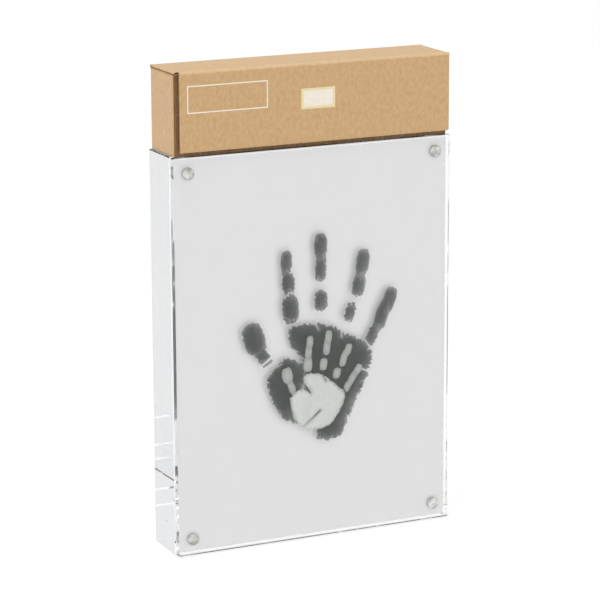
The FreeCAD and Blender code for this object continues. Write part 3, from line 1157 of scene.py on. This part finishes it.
BABY_CREASE_SHARES = (
    Crease((-0.150, 0.030), (0.040, 0.185), 0.0050),
    Crease((0.285, 0.405), (0.325, 0.330), 0.0060),
    Crease((0.070, 0.540), (0.105, 0.485), 0.0030),
)


class Edge(Enum):
    """An edge of a flat panel in its local axes, as its axis and whether it is the far one."""

    LEFT = (0, False)
    RIGHT = (0, True)
    LOWER = (1, False)
    UPPER = (1, True)


@dataclass(frozen=True)
class FlutedBoard:
    """Corrugated board: two liners with a wavy medium between them."""

    thickness: float
    finishes: tuple[Material, ...]
    liner: float = 0.28 * MM
    medium: float = 0.22 * MM
    pitch: float = 3.2 * MM
    steps_per_flute: int = 8
    step_along: float = 8 * MM
    read_through: float = 0.010 * MM
    crushed_width: float = 1.4 * MM
    crushed_share: float = 0.3
    crush_steps: int = 4
    fold_share: float = 0.95
    fold_steps: int = 8
    smooth_under: float = 35

    def crush(self, part: BMesh, size: Pair, edge: Edge) -> None:
        """Press a cut edge of a panel down towards its inner face.

        Args:
            part: The panel, in its local axes.
            size: The panel's size across and along the flutes.
            edge: The edge that the die has crushed.
        """
        axis, far = edge.value
        toward = -1 if far else 1
        start = size[axis] if far else 0
        normal = Vector((1 - axis, axis, 0))
        for step in range(1, self.crush_steps + 1):
            cut = normal * (start + toward * self.crushed_width * step / self.crush_steps)
            whole = [*part.verts, *part.edges, *part.faces]
            bmesh.ops.bisect_plane(part, geom=whole, dist=0.01 * MM, plane_co=cut, plane_no=normal)
        for vert in part.verts:
            away = abs(vert.co[axis] - start) / self.crushed_width
            if away < 1:
                height = vert.co.z + self.thickness
                vert.co.z = height * (1 - self.crushed_share * (1 - away) ** 2) - self.thickness

    def sheet(
        self, bm: BMesh, size: Pair, height: Callable[[float], float], thickness: float
    ) -> list[BMFace]:
        """Add one paper layer in local axes: X across the flutes, Y along them, Z outwards.

        Args:
            bm: The bmesh that the layer is added to.
            size: The layer's size across and along the flutes.
            height: The outer face's height at a place across the flutes.
            thickness: The paper's thickness.

        Returns:
            The layer's faces.
        """
        width, length = size
        across_steps = max(2, round(width / self.pitch * self.steps_per_flute))
        along_steps = max(1, round(length / self.step_along))
        grid = bmesh.ops.create_grid(
            bm, x_segments=across_steps, y_segments=along_steps, size=0.5
        )["verts"]
        for vert in grid:
            vert.co.x = (vert.co.x + 0.5) * width
            vert.co.y = (vert.co.y + 0.5) * length
            vert.co.z = height(vert.co.x)
        lower = extruded(bm, list({face for vert in grid for face in vert.link_faces}))
        bmesh.ops.translate(bm, verts=lower, vec=(0, 0, -thickness))
        return list({face for vert in grid + lower for face in vert.link_faces})

    def panel(self, bm: BMesh, place: Matrix, size: Pair, cut: Sequence[Edge] = ()) -> None:
        """Add a flat panel.

        Args:
            bm: The bmesh that the panel is added to.
            place: Puts the panel's outer face, from its corner, X across the flutes.
            size: The panel's size across and along the flutes.
            cut: The edges that the die has crushed.
        """
        part = bmesh.new()
        room = self.thickness - 2 * self.liner - self.medium
        turns = math.tau / self.pitch

        def face(x: float) -> float:
            """Give the outer liner's height, which shows the flutes a little."""
            return self.read_through * (math.cos(turns * x) - 1)

        def back(x: float) -> float:
            """Give the inner liner's height, which is the same everywhere."""
            return self.liner - self.thickness

        def wave(x: float) -> float:
            """Give the medium's height."""
            return -self.liner - room * (0.5 - 0.5 * math.cos(turns * x))

        for height in (face, back):
            for paper in self.sheet(part, size, height, self.liner):
                paper.normal_update()
                paper.material_index = int(abs(paper.normal.z) < DIAGONAL)
        for paper in self.sheet(part, size, wave, self.medium):
            paper.material_index = 1
        for edge in cut:
            self.crush(part, size, edge)
        self.add(bm, part, place)

    def fold(
        self, bm: BMesh, place: Matrix, length: float, radius: float, outside: int = 0
    ) -> None:
        """Add a quarter-round fold, in which the layers are squeezed together.

        Args:
            bm: The bmesh that the fold is added to.
            place: Puts the fold's first outer edge along X, its first tangent along Y.
            length: The fold's length.
            radius: The fold's outer radius.
            outside: Which of the board's finishes the outer liner has.
        """
        part = bmesh.new()
        core = min(self.thickness, self.fold_share * radius) - 2 * self.liner
        top = 0.0
        for thickness, index in ((self.liner, outside), (core, 1), (self.liner, 0)):
            foot = top - thickness
            rectangle = ((0, top), (length, top), (length, foot), (0, foot))
            corners = [part.verts.new((x, 0, z)) for x, z in rectangle]
            start = part.faces.new(corners)
            start.material_index = index
            bmesh.ops.spin(
                part,
                geom=[*corners, *start.edges, start],
                cent=(0, 0, -radius),
                axis=(1, 0, 0),
                angle=-math.pi / 2,
                steps=self.fold_steps,
            )
            top = foot
        for paper in part.faces:
            paper.normal_update()
            if abs(paper.normal.x) > DIAGONAL:
                paper.material_index = 1
        self.add(bm, part, place)

    def add(self, bm: BMesh, part: BMesh, place: Matrix) -> None:
        """Put a finished part into the piece's bmesh and free it.

        Args:
            bm: The piece's bmesh.
            part: The part, in its local axes.
            place: Where it goes.
        """
        bmesh.ops.transform(part, matrix=place, verts=part.verts)
        bmesh.ops.recalc_face_normals(part, faces=part.faces)
        data = bpy.data.meshes.new("part")
        part.to_mesh(data)
        part.free()
        bm.from_mesh(data)
        bpy.data.meshes.remove(data)

    def finish(self, name: str, bm: BMesh) -> Object:
        """Turn the piece's bmesh into an object with the board's finishes."""
        return made(name, bm, self.finishes, self.smooth_under)


@dataclass
class Carton:
    """The folded kit carton: a fixed tray, a lid on a crease and a front flap on another."""

    finishes: Finishes
    crease: float = 1.4 * MM
    fold: float = 1.3 * MM
    turn: float = 3.0 * MM
    lid_crushed_share: float = 0.5
    # Left, right, lower and upper edges of the print, as shares of the flap
    field_shares: tuple[float, float, float, float] = (0.026, 0.317, 0.481, 0.825)
    label_shares: tuple[float, float, float, float] = (0.439, 0.565, 0.423, 0.683)
    rule: float = 0.6 * MM
    border: float = 1.3 * MM
    ink: float = 0.03 * MM

    def __post_init__(self) -> None:
        """Take the carton's sizes from its CAD nodes, and its kinds of board."""
        self.lid_low, self.lid_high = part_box("carton_lid")
        self.flap_low, self.flap_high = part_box("carton_front_flap")
        self.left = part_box("carton_left_end")[0]
        self.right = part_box("carton_right_end")[1]
        self.top = self.lid_high.z
        self.front = self.flap_low.y
        self.back = self.right.y
        thickness = self.flap_high.y - self.flap_low.y
        kraft, creased = self.finishes.kraft, self.finishes.creased
        papers = (kraft, self.finishes.raw_board, creased)
        self.board = FlutedBoard(thickness, papers)
        self.lid_board = FlutedBoard(thickness, papers, crushed_share=self.lid_crushed_share)
        # The flap's cut edges and the front wall's edges get the darkened raw edge, which is painted
        # shade
        shaded_edge = self.finishes.pressed_edge
        self.flap_board = FlutedBoard(thickness, (kraft, shaded_edge, creased))
        # Both of the front wall's liners are the dark one, which is painted shade
        self.wall_board = FlutedBoard(thickness, (self.finishes.inner_liner, shaded_edge))

    def build(self) -> None:
        """Make every panel and crease of the carton."""
        self.end(Side.LEFT)
        self.end(Side.RIGHT)
        self.walls()
        self.lid_and_flap()
        self.creases()
        self.printed_field()
        self.blank_label()

    def end(self, side: Side) -> None:
        """Make an end panel, cut square at the front and folded into the back.

        Args:
            side: Which end.
        """
        sign = side.value
        outward = ACROSS * sign
        face = self.right.x if side is Side.RIGHT else self.left.x
        foot = self.left.z
        tall = self.right.z - foot
        bend = self.back - self.fold
        bm = bmesh.new()
        place = axes(Vector((face, self.left.y, foot)), BACKWARD, UP, outward)
        cut = (Edge.LEFT, Edge.LOWER, Edge.UPPER)
        self.board.panel(bm, place, (bend - self.left.y, tall), cut)
        place = axes(Vector((face, bend, foot)), UP, BACKWARD, outward)
        self.board.fold(bm, place, tall, self.fold)
        turn_start = Vector((face - sign * self.fold, self.back, foot))
        place = axes(turn_start, -outward, UP, BACKWARD)
        self.board.panel(bm, place, (self.turn - self.fold, tall))
        name = f"carton_{side.name.lower()}_end"
        standing_for(self.board.finish(f"{name}_panel", bm), "carton", "kraft_board", name)

    def flat(
        self,
        name: str,
        node: str,
        body: str,
        board: FlutedBoard,
        place: Matrix,
        size: Pair,
        cut: Sequence[Edge] = (),
    ) -> None:
        """Make a piece of one flat panel.

        Args:
            name: The piece's name.
            node: The CAD node that it stands for.
            body: The body that it rides on.
            board: Its board.
            place: Puts its outer face, from its corner, X across the flutes.
            size: Its size across and along the flutes.
            cut: The edges that the die has crushed.
        """
        bm = bmesh.new()
        board.panel(bm, place, size, cut)
        standing_for(board.finish(name, bm), body, "kraft_board", node)

    def walls(self) -> None:
        """Make the wall behind the flap, the wall that the lid folds from, and the bottom."""
        low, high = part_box("carton_front_wall")
        place = axes(low, ACROSS, UP, -BACKWARD)
        size = (high.x - low.x, high.z - low.z)
        self.flat("carton_front_board", "carton_front_wall", "carton", self.wall_board, place, size)
        low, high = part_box("carton_back_wall")
        place = axes(Vector((low.x, high.y, low.z)), ACROSS, UP, BACKWARD)
        size = (high.x - low.x, self.top - self.crease - low.z)
        self.flat("carton_back_board", "carton_back_wall", "carton", self.board, place, size)
        low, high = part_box("carton_bottom")
        place = axes(low, ACROSS, BACKWARD, -UP)
        size = (high.x - low.x, high.y - low.y)
        self.flat("carton_bottom_board", "carton_bottom", "carton", self.board, place, size)

    def lid_and_flap(self) -> None:
        """Make the lid between its two creases, and the front flap below the first one."""
        start = self.front + self.crease
        place = axes(Vector((self.lid_low.x, start, self.top)), ACROSS, BACKWARD, UP)
        size = (self.lid_high.x - self.lid_low.x, self.back - self.crease - start)
        sides = (Edge.LEFT, Edge.RIGHT)
        self.flat("carton_lid_board", "carton_lid", "lid", self.lid_board, place, size, sides)
        low = self.flap_low
        place = axes(low, ACROSS, UP, -BACKWARD)
        size = (self.flap_high.x - low.x, self.top - self.crease - low.z)
        cut = (*sides, Edge.LOWER)
        self.flat("carton_flap_board", "carton_front_flap", "flap", self.flap_board, place, size, cut)

    def creases(self) -> None:
        """Make the two creases, and log the bodies on either side of each."""
        lid, flap = (self.lid_low.x, self.lid_high.x), (self.flap_low.x, self.flap_high.x)
        rows = (
            ("carton_front_crease", flap, self.front, BACKWARD, "lid", "flap"),
            ("carton_rear_crease", lid, self.back, -BACKWARD, "lid", "carton"),
        )
        for name, (left, right), face, inward, upper, lower in rows:
            start = Vector((left, face, self.top)) + inward * self.crease
            bm = bmesh.new()
            place = axes(start, ACROSS, -inward, UP)
            # The fold's outer liner is the paler crease liner, which is partly a painted highlight
            self.board.fold(bm, place, right - left, self.crease, outside=2)
            piece = self.board.finish(name, bm)
            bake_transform(piece)
            log.info("%s: bends between %s and %s", name, upper, lower)

    def on_flap(self, shares: Sequence[float]) -> BMesh:
        """Start a flat rectangle of ink on the flap's face.

        Args:
            shares: Its left, right, lower and upper edges, as shares of the flap.

        Returns:
            The rectangle.
        """
        left, right, low, high = shares
        wide = self.flap_high.x - self.flap_low.x
        tall = self.top - self.flap_low.z
        first = Vector((self.flap_low.x + left * wide, self.front, self.flap_low.z + low * tall))
        last = Vector((self.flap_low.x + right * wide, self.front, self.flap_low.z + high * tall))
        return upright_sheet((first + last) / 2, (last.x - first.x, last.z - first.z))

    def inset(self, bm: BMesh, face: list[BMFace], width: float) -> list[BMFace]:
        """Draw a border inside a face and give its faces."""
        return bmesh.ops.inset_region(
            bm, faces=face, thickness=width, use_boundary=True, use_even_offset=True
        )["faces"]

    def print_on(self, name: str, bm: BMesh, inks: Sequence[Material]) -> None:
        """Give flat ink its thickness and make it a piece that rides on the flap.

        Args:
            name: The piece's name.
            bm: The flat ink.
            inks: Its finishes.
        """
        bmesh.ops.translate(bm, verts=extruded(bm, list(bm.faces)), vec=(0, -self.ink, 0))
        standing_for(made(name, bm, inks), "flap", "kraft_board")

    def printed_field(self) -> None:
        """Print an empty ruled field at the flap's left."""
        bm = self.on_flap(self.field_shares)
        middle = bm.faces[:]
        self.inset(bm, middle, self.rule)
        bmesh.ops.delete(bm, geom=middle, context="FACES_ONLY")
        self.print_on("flap_ruled_field", bm, [self.finishes.ink])

    def blank_label(self) -> None:
        """Print a blank label with a cream border at the flap's middle."""
        bm = self.on_flap(self.label_shares)
        for face in self.inset(bm, bm.faces[:], self.border):
            face.material_index = 1
        self.print_on("flap_blank_label", bm, [self.finishes.ink, self.finishes.cream])


@dataclass
class PaintKit:
    """What lies in the carton: two bottles of paint with caps, and a foam brush."""

    finishes: Finishes
    wall: float = 1.0 * MM
    foot: float = 1.5 * MM
    neck: float = 5.5 * MM
    neck_length: float = 9.0 * MM
    shoulder: float = 5.0 * MM
    cap_top: float = 1.6 * MM
    cap_rim: float = 0.8 * MM
    cap_clearance: float = 0.3 * MM
    grips: int = 40
    steps_per_grip: int = 3
    grip_depth: float = 0.35 * MM
    # How far from each end of the skirt the grips keep, as shares of the cap's rim
    grip_end_shares: Pair = (0.9, 1.9)
    # What lies further out than this share of the cap's radius is its skirt
    skirt_share: float = 0.99
    bottle_steps: int = 64
    handle_steps: int = 32
    smooth_under: float = 50
    foam_smooth_under: float = 80
    foam_tip_share: float = 0.3
    foam_cuts: int = 15
    pit: float = 1.3 * MM
    pit_depth: float = 0.2 * MM
    handle_rim: float = 1.2 * MM
    # Radius and place of the points along the handle's grip, as shares of its own sizes
    handle_shares: tuple[Pair, ...] = ((1, 0.5), (0.96, 0.8), (1, 0.9))

    def build(self) -> None:
        """Make both bottles and the brush."""
        paints = {"dark": self.finishes.adult_paint, "light": self.finishes.baby_paint}
        for colour, paint in paints.items():
            dress(f"paint_fill_{colour}", paint)
            self.bottle(f"paint_bottle_{colour}")
            self.cap(colour)
        self.foam_head()
        self.handle()

    def turned(
        self,
        name: str,
        node: str,
        profile: Sequence[Pair],
        steps: int,
        finish: Material,
        ribbed: bool = False,
    ) -> Object:
        """Turn a profile and lay it along X in its CAD node's place.

        Args:
            name: The piece's name.
            node: The CAD node.
            profile: Radius and height of each point, from the left end to the right one.
            steps: How many steps go round.
            finish: The piece's finish.
            ribbed: Whether grips are sunk into it, as on a cap.

        Returns:
            The piece.
        """
        low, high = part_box(node)
        middle = (low + high) / 2
        place = axes(Vector((low.x, middle.y, middle.z)), -UP, BACKWARD, ACROSS)
        bm = bmesh.new()
        lathe(bm, profile, steps)
        if ribbed:
            self.cut_grips(bm, (high.z - low.z) / 2, high.x - low.x, steps)
        bmesh.ops.transform(bm, matrix=place, verts=bm.verts)
        return made(name, bm, [finish], self.smooth_under)

    def bottle(self, node: str) -> None:
        """Make a bottle with a rounded foot and shoulder, open at its neck.

        Args:
            node: The bottle's CAD node.
        """
        low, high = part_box(node)
        radius = (high.z - low.z) / 2
        total = high.x - low.x
        straight = total - self.neck_length - self.shoulder
        bore = self.neck - self.wall
        profile = [(0, 0), (radius - self.foot, 0)]
        profile += round_corner(radius - self.foot, self.foot, self.foot, -90)
        profile += [
            (radius, straight),
            (self.neck, straight + self.shoulder),
            (self.neck, total),
            (bore, total),
            (bore, straight + self.shoulder),
            (radius - self.wall, straight),
            (radius - self.wall, self.wall),
            (0, self.wall),
        ]
        piece = self.turned(f"{node}_shell", node, profile, self.bottle_steps, self.finishes.bottle)
        standing_for(piece, "carton", "bottle_plastic", node)

    def cap(self, colour: str) -> None:
        """Make a screw cap with grip ribs round its skirt.

        Args:
            colour: Which paint's cap.
        """
        node = f"paint_cap_{colour}"
        low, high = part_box(node)
        radius = (high.z - low.z) / 2
        length = high.x - low.x
        rim = self.cap_rim
        bore = self.neck + self.cap_clearance
        profile = [(bore, 0), (radius, 0), (radius, rim), (radius, length - 2 * rim)]
        profile += round_corner(radius - rim, length - rim, rim, 0)
        profile += [(0, length), (0, length - self.cap_top), (bore, length - self.cap_top)]
        profile.append(profile[0])
        steps = self.grips * self.steps_per_grip
        piece = self.turned(f"{node}_ribbed", node, profile, steps, self.finishes.cap, ribbed=True)
        standing_for(piece, f"{colour}_cap", "cap_plastic", node)

    def cut_grips(self, bm: BMesh, radius: float, length: float, steps: int) -> None:
        """Sink every third line of the cap's skirt, between its two rims.

        Args:
            bm: The cap, still along Z.
            radius: Its radius.
            length: Its length.
            steps: How many steps go round it.
        """
        lowest, above = (share * self.cap_rim for share in self.grip_end_shares)
        highest = length - above
        for vert in bm.verts:
            if lowest < vert.co.z < highest and vert.co.xy.length > radius * self.skirt_share:
                turn = round(math.atan2(vert.co.y, vert.co.x) / math.tau * steps)
                if turn % self.steps_per_grip == 0:
                    vert.co.xy *= 1 - self.grip_depth / radius

    def foam_head(self) -> None:
        """Make the foam head, a soft wedge with a pitted skin."""
        low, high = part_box("brush_foam")
        size = high - low
        bm = bmesh.new()
        bmesh.ops.create_cube(bm, size=1)
        bmesh.ops.subdivide_edges(bm, edges=bm.edges, cuts=self.foam_cuts, use_grid_fill=True)
        tip = self.foam_tip_share
        for vert in bm.verts:
            vert.co.z *= tip + (1 - tip) * (vert.co.x + 0.5)
            vert.co *= size
        bmesh.ops.translate(bm, verts=bm.verts, vec=(low + high) / 2)
        bm.normal_update()
        for vert in bm.verts:
            pit = noise.noise(vert.co / self.pit) - 1
            vert.co += vert.normal * pit * self.pit_depth
        piece = made("brush_foam_head", bm, [self.finishes.foam], self.foam_smooth_under)
        standing_for(piece, "carton", "foam", "brush_foam")

    def handle(self) -> None:
        """Make the brush's turned handle with rounded ends."""
        low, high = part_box("brush_handle")
        radius = (high.z - low.z) / 2
        length = high.x - low.x
        rim = self.handle_rim
        profile = [(0, 0), (radius - rim, 0), *round_corner(radius - rim, rim, rim, -90)]
        profile += [(radius * out, length * along) for out, along in self.handle_shares]
        profile += round_corner(radius - rim, length - rim, rim, 0)
        profile.append((0, length))
        names = ("brush_handle_turned", "brush_handle")
        piece = self.turned(*names, profile, self.handle_steps, self.finishes.wood)
        standing_for(piece, "carton", "handle_wood", "brush_handle")


@dataclass
class Studio:
    """A plain pale floor, soft light from all round, and the photograph's camera."""

    target: Pair = (-8.90 * MM, 125.91 * MM)
    azimuth: float = -25.14
    elevation: float = 13.56
    roll: float = -0.257
    distance: float = 1.3775
    focal_pixels: float = 2750.0
    picture_pixels: float = 600
    sensor: float = 36
    floor_size: float = 6.0
    floor_gap: float = 0.2 * MM
    floor_glow: float = 0.65
    floor_grey: Pair = (0.32, 0.34)
    floor_patches_per_metre: float = 6
    sky: float = 1.30
    horizon: float = 0.33
    screens: float = 1.05
    screen_rise: float = 0.35
    screen_fade: float = 0.04
    lamp_power: float = 17.0
    lamp_size: Pair = (1.6, 1.2)
    lamp_place: Triple = (-0.70, -0.45, 2.3)
    lamp_aim: Triple = (0, 0, 0.12)
    bounces: int = 32

    def build(self) -> None:
        """Make the floor, the light and the camera."""
        self.floor()
        self.sky_and_screens()
        self.lamp()
        self.camera()
        self.follow_light()

    def follow_light(self) -> None:
        """Let light be followed through all the reflections inside the thick block."""
        paths = bpy.context.scene.cycles
        paths.max_bounces = self.bounces
        paths.glossy_bounces = self.bounces
        paths.transmission_bounces = self.bounces
        paths.blur_glossy = 0

    def floor(self) -> None:
        """Lay the floor under the object's foot."""
        bm = bmesh.new()
        bmesh.ops.create_grid(bm, x_segments=4, y_segments=4, size=self.floor_size / 2)
        bmesh.ops.translate(bm, verts=bm.verts, vec=(0, 0, -self.floor_gap))
        graph = Graph(bpy.data.materials.new("pale_floor"))
        dark, light = ((grey, grey, grey) for grey in self.floor_grey)
        patches = graph.noise(self.floor_patches_per_metre)
        graph.set(Base_Color=graph.mix(patches, dark, light), Roughness=0.9)
        graph.set(Emission_Color=(1, 1, 1, 1), Emission_Strength=self.floor_glow)
        made("floor", bm, [graph.owner])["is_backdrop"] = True

    def sky_and_screens(self) -> None:
        """Light the scene from all round: the sky overhead and white screens above the table.

        The camera itself sees plain white behind the object.
        """
        world = bpy.data.worlds.new("soft_studio")
        bpy.context.scene.world = world
        graph = Graph(world, "Background")
        graph.set(Color=(1, 1, 1, 1))
        way = graph.add("TexCoord").outputs["Generated"]
        height = graph.add("SeparateXYZ", Vector=way).outputs["Z"]
        squared = graph.math("MULTIPLY", height, height)
        rise = graph.ranged(squared, (0, 1), (self.horizon, self.sky))
        ends = (self.screen_rise, self.screen_rise + self.screen_fade)
        brighter = graph.math("MAXIMUM", rise, graph.ranged(height, ends, (self.screens, 0)))
        # A mixer of numbers has its factor at input 0 and its two ends at 2 and 3
        choice = graph.add("Mix")
        graph.put(graph.add("LightPath").outputs["Is Camera Ray"], choice.inputs[0])
        graph.put(brighter, choice.inputs[2])
        graph.put(1.0, choice.inputs[3])
        graph.set(Strength=choice.outputs[0])

    def lamp(self) -> None:
        """Hang a soft box over the object's left."""
        lamp = bpy.data.lights.new("soft_box", "AREA")
        lamp.shape = "RECTANGLE"
        lamp.size, lamp.size_y = self.lamp_size
        lamp.energy = self.lamp_power
        box = bpy.data.objects.new("soft_box", lamp)
        box.location = self.lamp_place
        aim = Vector(self.lamp_aim) - box.location
        box.rotation_euler = aim.to_track_quat("-Z", "Y").to_euler()
        bpy.context.scene.collection.objects.link(box)
        bpy.context.scene.view_settings.view_transform = "Standard"

    def camera(self) -> None:
        """Stand the camera where the photograph was taken from."""
        side = math.radians(self.azimuth)
        rise = math.radians(self.elevation)
        level = Vector((math.sin(side), -math.cos(side), 0))
        back = level * math.cos(rise) + UP * math.sin(rise)
        across, up = self.target
        target = Vector((across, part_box("front_plate")[0].y, up))
        lens = bpy.data.cameras.new("camera")
        lens.sensor_width = self.sensor
        lens.lens = self.focal_pixels / self.picture_pixels * self.sensor
        camera = bpy.data.objects.new("camera", lens)
        camera.location = target + back * self.distance
        turn = Quaternion((0, 0, 1), math.radians(self.roll))
        camera.rotation_euler = ((-back).to_track_quat("-Z", "Y") @ turn).to_euler()
        bpy.context.scene.collection.objects.link(camera)
        bpy.context.scene.camera = camera


def corners() -> list[list[float]]:
    """Give the lowest and the highest corner of what is shown, as plain numbers."""
    return [[float(number) for number in corner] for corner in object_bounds()]


def main() -> None:
    """Build the scene piece by piece."""
    logging.basicConfig(level=logging.INFO, format="%(message)s")
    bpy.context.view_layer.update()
    Studio().build()
    finishes = Finishes()
    MagneticFrame(finishes).build()
    Handprint(
        name="adult_print",
        node="adult_handprint",
        slot="adult_paint",
        finish=finishes.adult_paint,
        shapes=ADULT_SHAPE_SHARES,
        creases=ADULT_CREASE_SHARES,
        grid=0.36 * MM,
        under=0.02 * MM,
        seed=11,
    ).build()
    Handprint(
        name="baby_print",
        node="baby_handprint",
        slot="baby_paint",
        finish=finishes.baby_paint,
        shapes=BABY_SHAPE_SHARES,
        creases=BABY_CREASE_SHARES,
        grid=0.25 * MM,
        under=0.01 * MM,
        seed=23,
        ridge=0.6 * MM,
        tooth=0.6 * MM,
        tooth_depth=0.9 * MM,
        merge=0.8 * MM,
        streaky=0.25,
        finger_coat=0.5,
    ).build()
    Carton(finishes).build()
    PaintKit(finishes).build()


if __name__ == "__main__":
    main()
